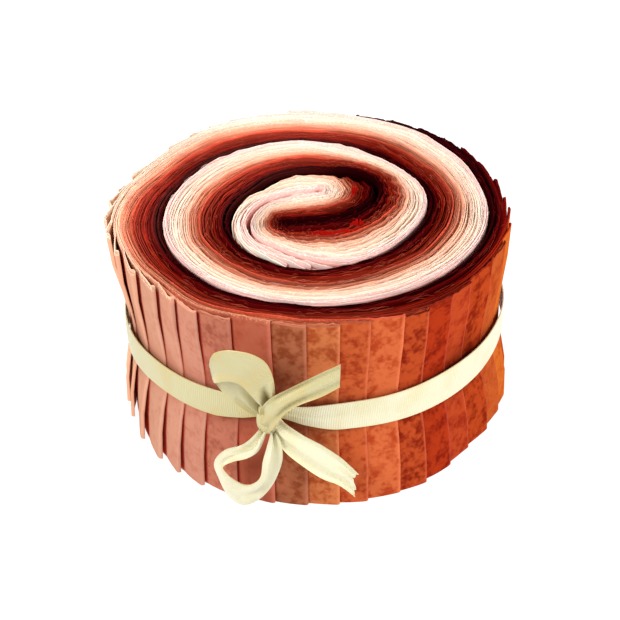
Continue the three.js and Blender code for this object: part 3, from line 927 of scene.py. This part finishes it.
@dataclass
class Strip:
    """One cotton strip, folded in half, from its raw ends in the core to its fold on the wall."""

    number: int
    winding: Winding
    chance: np.random.Generator
    turn_per_column: float = 5.0
    before_panel: float = 4.0
    # Width, as a share of the panel, of the painted shadow under the next fold.
    fold_shadow_width: float = 0.085
    cloth_thickness: float = 0.28
    fill: float = 0.9
    wall_reach: float = 12.0
    loose_from: float = 28.0
    late_start: float = 0.6
    own_height: float = 0.5
    ragged_height: float = 0.14
    ripples: tuple[tuple[float, float], ...] = ((0.28, 0.7), (0.16, 2.3))
    first_dip: float = 0.8
    further_dip: float = 1.6
    dip_span: float = 0.45
    fold_turns: tuple[float, ...] = (30.0, 60.0, 90.0, 120.0, 150.0)

    def build(self) -> bpy.types.Object:
        """The strip's mesh: the outer layer outwards, round its fold, and the inner layer back.

        Returns:
            The object, with "cut" and a second attribute for its cotton, which places the painted shadow and
            highlight at its folds.
        """
        place = (self.number + np.array([0.75, 0.25])) / STRIP_COUNT
        start = self.winding.first_station(float(place[1]))
        outer_at, inner_at = (self._columns(start + self.chance.uniform(0.0, self.late_start))
                              for _ in (0, 1))
        outer = self._layer(float(place[0]), outer_at)
        inner = self._layer(float(place[1]), inner_at)
        middle = np.concatenate([outer, self._fold(outer, inner), inner[::-1]])
        fold_at = np.full(len(self.fold_turns), outer_at[-1])
        station = np.concatenate([outer_at, fold_at, inner_at[::-1]])
        thick = np.minimum(self.fill * self.winding.pitch(station), self.cloth_thickness)
        along = np.gradient(middle, axis=0)
        along[..., 2] = 0
        normal = np.stack([along[..., 1], -along[..., 0], np.zeros(along.shape[:2])], -1)
        normal /= np.maximum(np.linalg.norm(normal, axis=2, keepdims=True), TINY)
        half = np.broadcast_to((thick / 2)[:, None, None], middle.shape[:2] + (1,))
        made = ClosedSheet(middle, normal, half).mesh(f"strip_{self.number:02d}")
        rows = middle.shape[1]
        # Where the painted fold shadow and highlight go.
        add_number(made, "fold_shading", np.repeat(self._fold_shading_marks(station, middle), 2 * rows))
        head = np.isin(np.arange(2 * rows), (rows - 1, rows))
        add_number(made, "cut", np.tile(head, len(middle)))
        return made

    def _across(self, station: Array) -> Array:
        """Place across the strip's own panel: 0 at the fold that covers it, 1 at its own fold."""
        end, before = fold_angle(self.number), fold_angle(self.number + 1)
        return np.clip((self.winding.turn_of(station) - before) / (end - before), 0.0, 1.0)

    def _fold_shading_marks(self, station: Array, middle: Array) -> Array:
        """Where light is painted at the folds: 1 for a painted shadow where the panel dips under the next
        fold, -1 for a painted highlight along its own fold, else 0.

        Args:
            station: stations of the columns.
            middle: the strip's middle surface.

        Returns:
            One number for each column.
        """
        across = self._across(station)
        along = along_at(np.arctan2(middle[:, 0, 1], middle[:, 0, 0]))
        width = self.fold_shadow_width * read_table(FOLD_STANDOFF, along)
        return 1 - ease(across / width) - ease((across - 0.9) / 0.1)

    def _columns(self, start: float) -> Array:
        """Stations of the columns: quarter rungs in the core, then steps of turn, then the panel.

        Args:
            start: the layer's first station.

        Returns:
            The stations, rising.
        """
        end, before = (float(self.winding.station_of(fold_angle(self.number + more))) for more in (0, 1))
        panel = before - self.before_panel / TURN_PER_STATION
        core = np.arange(start, CORE_STATIONS, CORE_STEP)
        turns = np.arange(max(CORE_STATIONS, start), panel, self.turn_per_column / TURN_PER_STATION)
        return np.concatenate([core, turns, [panel, before - 0.1],
                               before + (end - before) * np.array(PANEL_COLUMNS)])

    def _layer(self, place: float, station: Array) -> Array:
        """One layer of the strip, laid in plan, leant, pulled in by the ribbon and flared.

        Args:
            place: the layer's place in the stack.
            station: stations of its columns.

        Returns:
            A grid of points, columns along the layer and rows up it.
        """
        plan = self.winding.point(np.full_like(station, place), station)
        angle = np.arctan2(plan[:, 1], plan[:, 0])
        radius = np.hypot(plan[:, 0], plan[:, 1])
        height = self._heights(angle, radius, station)
        share = self._wall_share(radius)[:, None]
        along = along_at(angle)
        lean = read_table(FOLD_LEAN, along)[:, None] * (1 - height / STRIP_WIDTH) * share
        turned = angle[:, None] + lean / ROLL_RADIUS
        tie = tie_share(turned, height)
        deep = np.clip((radius - self.loose_from) / (ROLL_RADIUS - self.loose_from), 0.0, 1.0)
        pulled = radius[:, None] - tie_depth(turned) * tie * deep[:, None] ** 1.5
        pulled = pulled + self._stand_off(station, along, tie, share)
        high = ease((height - 0.6 * STRIP_WIDTH) / (0.4 * STRIP_WIDTH))
        pulled = pulled + read_table(HEAD_FLARE, along)[:, None] * high * share
        low = ease((0.42 * STRIP_WIDTH - height) / (0.25 * STRIP_WIDTH))
        pulled = pulled + read_table(FOOT_FLARE, along)[:, None] * low * share
        return np.stack([pulled * np.cos(turned), pulled * np.sin(turned), height], -1)

    def _wall_share(self, radius: Array) -> Array:
        """1 on the wall, easing to 0 well inside it."""
        return ease((radius - (ROLL_RADIUS - self.wall_reach)) / self.wall_reach)

    def _stand_off(self, station: Array, along: Array, tie: Array, share: Array) -> Array:
        """How far the face stands out: FOLD_PROFILE across the strip's own panel, low before it.

        Args:
            station: stations of the columns.
            along: their places along the wall.
            tie: the ribbon's share of the pull, for each point.
            share: the wall's share, for each column.

        Returns:
            The distance out for each point.
        """
        across = self._across(station)
        step = FOLD_STEP + (FOLD_STEP_TIED - FOLD_STEP) * tie
        stand = read_table(FOLD_STANDOFF, along)[:, None]
        natural = 0.5 * (across - 0.5)[:, None]
        return (read_table(FOLD_PROFILE, across)[:, None] * step * stand - natural) * share

    def _heights(self, angle: Array, radius: Array, station: Array) -> Array:
        """Heights of the rows: foot, ribbon and head, each strip a little higher or lower.

        The head adds two sines, a ragged cut and the wall's own height. At the raw end it dips by
        dip * exp(-stations from the end / span).

        Args:
            angle: angles of the columns from +X, in radians.
            radius: their radii.
            station: their stations.

        Returns:
            A row of heights for each column.
        """
        share = self._wall_share(radius)
        along = along_at(angle)
        wave = self.chance.uniform(0, math.tau, 3)
        ripple = sum(size * np.sin(station * rate + begin)
                     for (size, rate), begin in zip(self.ripples, wave))
        own = self.chance.normal(0.0, self.own_height)
        ragged = self.chance.normal(0.0, self.ragged_height, len(station))
        head = STRIP_WIDTH - 0.2 + own + ripple + ragged + share * read_table(HEAD_HEIGHT, along)
        dip = self.first_dip + self.further_dip * ease((station[0] - 4.0) / 6.0)
        head = head - dip * np.exp(-(station - station[0]) / self.dip_span)
        foot = 0.05 + np.abs(0.3 * own) + 0.2 * (1 + np.sin(station * 1.1 + wave[2])) * 0.5
        foot = foot + share * read_table(FOOT_HEIGHT, along)
        middle = band_middle(angle)
        below = foot[:, None] + ROWS_BELOW * (middle - TIE_HALF_HEIGHT - foot)[:, None]
        above = (middle + TIE_HALF_HEIGHT)[:, None] + ROWS_ABOVE * (head - middle - TIE_HALF_HEIGHT)[:, None]
        return np.concatenate([below, middle[:, None], above], axis=1)

    def _fold(self, outer: Array, inner: Array) -> Array:
        """The rounded end: half a turn about the middle of the two layers' last columns.

        Args:
            outer: the outer layer's grid.
            inner: the inner layer's grid.

        Returns:
            The columns between the two.
        """
        centre = 0.5 * (outer[-1] + inner[-1])
        out = 0.5 * (outer[-1] - inner[-1])
        travel = outer[-1] - outer[-2]
        travel /= np.maximum(np.linalg.norm(travel, axis=1, keepdims=True), TINY)
        reach = np.linalg.norm(out, axis=1, keepdims=True)
        turns = np.radians(self.fold_turns)[:, None, None]
        return centre + np.cos(turns) * out + np.sin(turns) * travel * reach

    def finish(self) -> DyedCotton:
        """The strip's dye, between the nearest rows of SHADES and of WOUND, each a little off.

        Returns:
            The cotton.
        """
        keys = [row[0] for row in SHADES]
        i = min(max(int(np.searchsorted(keys, self.number, side="right")) - 1, 0), len(keys) - 2)
        t = min(max((self.number - keys[i]) / (keys[i + 1] - keys[i]), 0.0), 1.0)
        lift = -abs(float(self.chance.normal(0.0, 0.025)))
        ground, cloud = (tuple(min(max(a + (b - a) * t + lift * a, 0.01), 0.99)
                               for a, b in zip(SHADES[i][k], SHADES[i + 1][k])) for k in (1, 2))
        share = SHADES[i][3] + (SHADES[i + 1][3] - SHADES[i][3]) * t
        mild = 1 - 0.7 * float(ease(np.array(self.number / 30.0)))
        shift = 1 + mild * float(self.chance.normal(-0.02, 0.16))
        wound = tuple(min(float(read_table(WOUND, np.array([self.number]), c)[0]) * shift, 1.0)
                      for c in (1, 2, 3))
        return DyedCotton(ground, cloud, share, tuple(self.chance.uniform(0, 3, 3)), wound)


@dataclass
class StripRoll:
    """All the strips."""

    winding: Winding = field(default_factory=Winding)

    def build(self) -> list[bpy.types.Object]:
        """Builds and dresses every strip, each with its own seeded chance.

        Returns:
            The strips, from the dark side of the stack.
        """
        made = []
        for number in range(STRIP_COUNT):
            strip = Strip(number, self.winding, np.random.default_rng(SEED + number))
            piece = strip.build()
            piece.data.materials.append(strip.finish().material(f"cotton_{number:02d}"))
            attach(piece, "root")
            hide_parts("fabric_roll")
            made.append(piece)
        LOG.info("strips: %d, %d faces", len(made), sum(len(o.data.polygons) for o in made))
        return made


@dataclass(frozen=True)
class RawEdge:
    """A raw edge that stands up: stations and places in the stack from and to, rise, lean out."""

    name: str
    stations: tuple[float, float]
    places: tuple[float, float]
    rise: float
    lean: float


RAW_EDGES = (
    RawEdge("raw_edge_by_the_s", (18.1, 19.2), (0.33, 0.37), 2.2, 1.0),
    RawEdge("raw_edge_in_the_turn", (34.4, 38.2), (0.30, 0.44), 1.1, -0.8),
    RawEdge("raw_edge_beside_it", (37.2, 38.0), (0.25, 0.36), 1.6, -0.8),
)


@dataclass
class RawEdges:
    """Bright torn edges of strips that stand out of the core."""

    winding: Winding
    red: Colour = (0.60, 0.06, 0.04)
    deep_red: Colour = (0.38, 0.02, 0.02)
    thickness: float = 0.22
    columns: int = 17
    rows: int = 5
    below_top: float = 0.6

    def build(self) -> None:
        """Builds each as a closed sheet with a ragged upper edge, and dresses it."""
        chance = np.random.default_rng(SEED)
        cotton = DyedCotton(self.red, self.deep_red, 0.8, (0.0, 0.0, 0.0), self.red)
        for edge in RAW_EDGES:
            piece = self._sheet(edge, chance)
            piece.data.materials.append(cotton.material(edge.name))
            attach(piece, "root")
        LOG.info("raw edges: %d", len(RAW_EDGES))

    def _sheet(self, edge: RawEdge, chance: np.random.Generator) -> bpy.types.Object:
        """One sheet: it follows its layers, and leans out by lean * rise share squared.

        Args:
            edge: the edge to build.
            chance: where its ragged heights come from.

        Returns:
            The object.
        """
        station = np.linspace(*edge.stations, self.columns)
        place = np.linspace(*edge.places, self.columns)
        plan = self.winding.point(place, station)
        along = np.gradient(plan, axis=0)
        side = np.column_stack([along[:, 1], -along[:, 0]])
        side /= np.linalg.norm(side, axis=1, keepdims=True)
        share = np.linspace(0, 1, self.rows)[None, :]
        arch = np.sin(np.linspace(0.15, math.pi - 0.15, self.columns))[:, None] ** 0.6
        ragged = 1 + chance.normal(0, 0.22, (self.columns, 1))
        up = STRIP_WIDTH - self.below_top + share * (self.below_top + edge.rise * arch * ragged)
        lean = edge.lean * arch * share**2
        grid = np.concatenate([plan[:, None, :] + lean[..., None] * side[:, None, :], up[..., None]], -1)
        normal = np.broadcast_to(np.column_stack([side, np.zeros(len(side))])[:, None, :], grid.shape)
        half = np.full(grid.shape[:2] + (1,), self.thickness / 2)
        return ClosedSheet(grid, normal, half).mesh(edge.name)


@dataclass
class LooseThreads:
    """Threads that have frayed from the cut edges and lie curled on the upper end."""

    winding: Winding
    count: int = 2400
    columns: int = 6
    radius: float = 0.06
    wall_reach: float = 12.0
    stations: tuple[float, float] = (0.1, 0.5)
    drift: float = 0.03
    clear: float = 0.15
    rise: float = 0.6
    end_rise: float = 0.25
    thin_end: float = 0.25
    dark: Colour = (0.42, 0.05, 0.05)
    middle: Colour = (0.76, 0.36, 0.26)
    pale: Colour = (1.0, 0.94, 0.90)

    def build(self) -> bpy.types.Object:
        """Short strands that follow the layers, lift by half a sine and curl a little.

        Returns:
            The strands as one object.
        """
        chance = np.random.default_rng(SEED)
        n = self.count
        place = chance.uniform(0.0, 1.0, n)
        last = self.winding.station_of(np.array([fold_angle(int(p * STRIP_COUNT)) for p in place]))
        first = np.array([self.winding.first_station(float(p)) for p in place])
        start = first + (last - first) * chance.uniform(0.02, 0.96, n) ** 0.8
        run = np.linspace(0, 1, self.columns)[None, :]
        length = chance.uniform(*self.stations, n)[:, None]
        drift = chance.normal(0, self.drift, n)[:, None]
        station = np.minimum(start[:, None] + length * run, last[:, None])
        points = self.winding.point(np.clip(place[:, None] + drift * run**2, 0.0, 1.0), station)
        lift = STRIP_WIDTH + self.clear + self.rise * chance.random(n)[:, None] * np.sin(run * math.pi)
        lift = lift + chance.normal(0, self.end_rise, n)[:, None] * run
        angle = np.arctan2(points[..., 1], points[..., 0])
        inner = np.hypot(points[..., 0], points[..., 1]) - ROLL_RADIUS
        wall = ease((inner + self.wall_reach) / self.wall_reach)
        lift = lift + wall * read_table(HEAD_HEIGHT, along_at(angle))
        line = np.concatenate([points, lift[..., None]], -1)
        return self._strands(line, place)

    def _strands(self, line: Array, place: Array) -> bpy.types.Object:
        """Three-sided tubes round the lines, which thin towards both ends by half a sine.

        Args:
            line: the strands' middle lines.
            place: each strand's place in the stack.

        Returns:
            The object, with the places as its "tint".
        """
        n, columns = line.shape[:2]
        turns = np.radians([90.0, 210.0, 330.0])
        along = np.gradient(line, axis=1)
        side = np.stack([along[..., 1], -along[..., 0], np.zeros((n, columns))], -1)
        side /= np.maximum(np.linalg.norm(side, axis=2, keepdims=True), TINY)
        taper = np.sin(np.linspace(self.thin_end, math.pi - self.thin_end, columns))[None, :, None, None]
        up = np.array([0.0, 0.0, 1.0])
        ring = (np.cos(turns)[:, None] * side[:, :, None, :] + np.sin(turns)[:, None] * up) * taper
        points = (line[:, :, None, :] + self.radius * ring).reshape(-1, 3)
        column = np.arange(columns - 1)[:, None] * 3
        k = np.arange(3)[None, :]
        tube = np.stack([column + k, column + (k + 1) % 3, column + 3 + (k + 1) % 3, column + 3 + k], -1)
        base = (np.arange(n) * columns * 3)[:, None, None]
        quads = (base + tube.reshape(-1, 4)[None]).reshape(-1, 4)
        made = make_object("loose_threads", points, quads, 80.0)
        add_number(made, "tint", np.repeat(place, columns * 3))
        return made

    def dress(self, piece: bpy.types.Object) -> None:
        """Colours each strand by the place of its strip in the stack.

        Args:
            piece: the strands.
        """
        make = NodeMaker("loose_threads")
        tint = make.attribute("tint")
        dark = make.blend(tint.step(0.05, 0.35), (*linear(self.dark), 1), (*linear(self.middle), 1))
        colour = make.blend(tint.step(0.35, 0.75), dark, (*linear(self.pale), 1))
        piece.data.materials.append(make.finish({"Base Color": colour, "Roughness": 0.8,
                                                 "Specular IOR Level": 0.0}))
        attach(piece, "root")


# The ribbon

class RibbonPart(Enum):
    """The free lengths of ribbon, by the node that each stands for."""

    UPPER_LOOP = "ribbon_loop_upper"
    LOWER_LOOP = "ribbon_loop_lower"
    UPPER_TAIL = "ribbon_tail_upper"
    LOWER_TAIL = "ribbon_tail_lower"


FREE_RIBBON: dict[RibbonPart, tuple[Array, float]] = {  # its edges, and the x in millimetres left of which its satin takes painted shade
    RibbonPart.UPPER_LOOP: (UPPER_LOOP, 40.0),
    RibbonPart.LOWER_LOOP: (LOWER_LOOP, -40.0),
    RibbonPart.UPPER_TAIL: (UPPER_TAIL, 20.0),
    RibbonPart.LOWER_TAIL: (LOWER_TAIL, -40.0),
}


@dataclass
class Ribbon:
    """The satin ribbon: the band round the roll, the knot, two loops and two tails."""

    width: float = 9.5
    flat_width: float = 0.010
    band_length: float = 370.0
    knot_length: float = 17.0
    thickness: float = 0.3
    rows: int = 13
    band_columns: int = 360
    band_lift: float = 1.0
    steps: int = 10
    cup: float = 0.5
    deepest_pleat: float = 1.0
    torn_columns: int = 8
    knot_sink: float = -1.15

    def build(self) -> None:
        """Builds every piece of the ribbon."""
        self._place(self._band(), "ribbon_band")
        for part, (edges, turned) in FREE_RIBBON.items():
            piece, length = self._free(part, edges)
            self._place(piece, part.value, turned)
        self._place(self._knot(), "ribbon_knot")
        LOG.info("ribbon: band, knot, loops and tails")

    def _place(self, piece: bpy.types.Object, node: str, turned: float = SHADED_LEFT_OF) -> None:
        """Args:
            piece: the piece.
            node: the node's name.
            turned: to the left of this the satin takes its darker copy, painted shade.
        """
        piece.data.materials.append(Satin(turned).material(f"satin_{node}", self.width))
        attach(piece, "root")
        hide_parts(node)

    @staticmethod
    def _wall_point(along: Array, up: Array, out: Array) -> Array:
        """Point at a place along the wall, a height and a distance out from the mean radius."""
        angle = angle_at(along)
        radius = ROLL_RADIUS + out
        return np.stack([radius * np.cos(angle), radius * np.sin(angle), up], -1)

    def _band(self) -> bpy.types.Object:
        """The band: a ring that hugs the wall, creased along its length beside the knot.

        It lies at the wall's radius less the tie, and the crease is a bell across its width.

        Returns:
            The object.
        """
        angle = np.linspace(0, math.tau, self.band_columns, endpoint=False)
        along = along_at(angle)
        middle, height, crease = (read_table(BAND_ROUTE, along, c)[:, None] for c in (1, 2, 3))
        v = np.linspace(-1, 1, self.rows)
        lift = self.band_lift + 0.4 * bell(along - 110.0, 18.0)
        out = lift[:, None] - tie_depth(angle)[:, None] + 0.2 * crease - crease * bell(v, 0.16) - 0.12 * v**2
        tilt = 0.25 * np.sin(along / 9.0)[:, None] * v
        radius = wall_radius(angle)[:, None] + out + tilt * 0.3
        up = middle + 0.5 * height * v + 0.12 * np.sin(along / 5.0)[:, None]
        grid = np.stack([radius * np.cos(angle)[:, None], radius * np.sin(angle)[:, None], up], -1)
        normal = np.stack([np.cos(angle), np.sin(angle), np.zeros_like(angle)], -1)
        normal = np.broadcast_to(normal[:, None, :], grid.shape)
        return self._sheet(grid, normal).mesh("band_of_ribbon", closed=True)

    def _sheet(self, grid: Array, normal: Array) -> ClosedSheet:
        """The ribbon's thickness about a middle surface."""
        return ClosedSheet(grid, normal, np.full(grid.shape[:2] + (1,), self.thickness / 2))

    def _free(self, part: RibbonPart, edges: Array) -> tuple[bpy.types.Object, float]:
        """A free length: a + v (b - a) between its edges, cupped by 2v(1 - v) along its normal.

        Where its edges draw together, three half waves of pleat, sin(3 pi v), take up the width.

        Args:
            part: which length.
            edges: its two edges, section by section.

        Returns:
            The object, and the length of its middle line in millimetres.
        """
        curve = through_rows(edges, self.steps)
        a = self._wall_point(curve[:, 0], curve[:, 1], curve[:, 2])[:, None, :]
        b = self._wall_point(curve[:, 3], curve[:, 4], curve[:, 5])[:, None, :]
        v = np.linspace(0, 1, self.rows)[None, :, None]
        grid = a + v * (b - a)
        along, over = np.gradient(grid, axis=0), np.gradient(grid, axis=1)
        normal = np.cross(along, over)
        normal /= np.maximum(np.linalg.norm(normal, axis=2, keepdims=True), TINY)
        chord = np.linalg.norm(b - a, axis=2, keepdims=True)
        slack = np.sqrt(np.maximum(self.width**2 - chord**2, 0.0))
        pleat = np.minimum(slack / 6, self.deepest_pleat) * np.sin(3 * math.pi * v)
        grid = grid + normal * (self.cup * 2 * v * (1 - v) + pleat)
        if part is RibbonPart.LOWER_TAIL:
            grid = self._notch(grid)
        length = float(np.linalg.norm(np.diff(grid[:, self.rows // 2], axis=0), axis=1).sum())
        return self._sheet(grid, normal).mesh(part.value.replace("ribbon_", "bow_")), length

    def _notch(self, grid: Array) -> Array:
        """The torn end: the last columns pulled back, most in a bell near the middle.

        Args:
            grid: the tail's grid.

        Returns:
            The grid with its last columns moved.
        """
        v = np.linspace(0, 1, grid.shape[1])
        back = 2.2 * bell(v - 0.42, 0.16) + 0.6 * np.sin(v * 23.0) ** 2
        first = len(grid) - self.torn_columns
        near = ease((np.arange(len(grid)) - first) / (self.torn_columns - 1.0))
        way = grid[-1] - grid[first]
        way = way / np.linalg.norm(way, axis=1, keepdims=True)
        return grid - near[:, None, None] * back[None, :, None] * way[None]

    def _knot(self) -> bpy.types.Object:
        """The knot: a short cuff of ribbon wrapped upright over the crossing, pinched at its ends.

        A section is an ellipse with five ribs, and its size falls by 0.45 |rise|^3 to both ends.

        Returns:
            The object.
        """
        turn = np.linspace(0, math.tau, 48, endpoint=False)[:, None]
        rise = np.linspace(-1, 1, 17)[None, :]
        size = 1 - 0.45 * np.abs(rise) ** 3
        rib = 1 + 0.05 * np.sin(5 * turn + 0.8) * (1 - rise**2)
        along = KNOT_ALONG + KNOT_HALF_WIDTH * size * rib * np.cos(turn) + 0.5 * rise
        deep = 0.5 * KNOT_DEPTH * size * rib
        out = self.knot_sink + 0.5 * KNOT_DEPTH + deep * np.sin(turn)
        up = KNOT_UP + KNOT_HALF_HEIGHT * np.broadcast_to(rise, along.shape)
        grid = self._wall_point(along, up, out)
        normal = grid - self._wall_point(np.array(KNOT_ALONG), np.array(KNOT_UP), np.array(0.95))
        normal /= np.linalg.norm(normal, axis=2, keepdims=True)
        return self._sheet(grid, normal).mesh("bow_knot", closed=True)


# The studio

@dataclass(frozen=True)
class SoftLight:
    """A square light that faces the roll: its place, power in watts and side in millimetres."""

    name: str
    place: tuple[float, float, float]
    watts: float
    side: float


LIGHTS = (
    SoftLight("key", (-380, -310, 430), 2.6, 240.0),
    SoftLight("fill", (430, -250, 250), 1.7, 260.0),
    SoftLight("back", (-80, 380, 460), 2.1, 300.0),
)


@dataclass
class Studio:
    """Plain pale floor, soft light and the camera of the photograph."""

    distance: float = 450.0
    target: tuple[float, float, float] = (-0.4, 0.0, 27.0)
    elevation: float = 35.5
    roll: float = -1.55
    focal_px: float = 1455.0
    frame_px: float = 620.0
    sensor: float = 36.0
    lit_height: float = 30.0
    world_light: float = 0.40
    floor_half: float = 3000.0

    def build(self) -> None:
        """Sets the camera, floor, lights and world."""
        self._camera()
        self._floor()
        for light in LIGHTS:
            self._light(light)
        world = bpy.data.worlds.new("studio")
        world.use_nodes = True
        background = world.node_tree.nodes["Background"]
        background.inputs["Color"].default_value = (1, 1, 1, 1)
        background.inputs["Strength"].default_value = self.world_light
        bpy.context.scene.world = world
        bpy.context.scene.view_settings.view_transform = "Standard"

    def _camera(self) -> None:
        """The camera: looks along +Y from above, rolled a little, at the fitted distance."""
        el, roll = math.radians(self.elevation), math.radians(self.roll)
        back = Vector((0, -math.cos(el), math.sin(el)))
        right = Vector((1, 0, 0))
        up = back.cross(right)
        x = math.cos(roll) * right + math.sin(roll) * up
        y = -math.sin(roll) * right + math.cos(roll) * up
        data = bpy.data.cameras.new("camera")
        data.sensor_width = self.sensor
        data.lens = self.focal_px * self.sensor / self.frame_px
        data.clip_start, data.clip_end = 0.01, 10.0
        camera = bpy.data.objects.new("camera", data)
        place = Vector(self.target) * MM + back * self.distance * MM
        turn = Matrix((x, y, back)).transposed().to_4x4()
        camera.matrix_world = Matrix.Translation(place) @ turn
        bpy.context.scene.collection.objects.link(camera)
        bpy.context.scene.camera = camera

    def _floor(self) -> None:
        """A wide pale floor under the roll."""
        corners = self.floor_half * np.array([(-1, -1, 0), (1, -1, 0), (1, 1, 0), (-1, 1, 0)])
        floor = make_object("floor", corners, np.array([[0, 1, 2, 3]]), 30.0)
        make = NodeMaker("pale_floor")
        floor.data.materials.append(make.finish({
            "Base Color": (0.2, 0.2, 0.2, 1), "Roughness": 1.0, "Specular IOR Level": 0.0,
            "Emission Color": (1, 1, 1, 1), "Emission Strength": 0.95}))

    def _light(self, soft: SoftLight) -> None:
        """Sets one light, turned towards a point low in the roll.

        Args:
            soft: the light to set.
        """
        data = bpy.data.lights.new(soft.name, "AREA")
        data.energy = soft.watts
        data.size = soft.side * MM
        light = bpy.data.objects.new(soft.name, data)
        light.location = Vector(soft.place) * MM
        light.rotation_mode = "QUATERNION"
        way = Vector((0, 0, self.lit_height * MM)) - light.location
        light.rotation_quaternion = way.to_track_quat("-Z", "Y")
        bpy.context.scene.collection.objects.link(light)


def main() -> None:
    """Builds the roll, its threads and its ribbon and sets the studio."""
    logging.basicConfig(level=logging.INFO)
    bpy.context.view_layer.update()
    Studio().build()
    roll = StripRoll()
    roll.build()
    RawEdges(roll.winding).build()
    threads = LooseThreads(roll.winding)
    threads.dress(threads.build())
    LOG.info("loose threads: %d", threads.count)
    Ribbon().build()


if __name__ == "__main__":
    main()
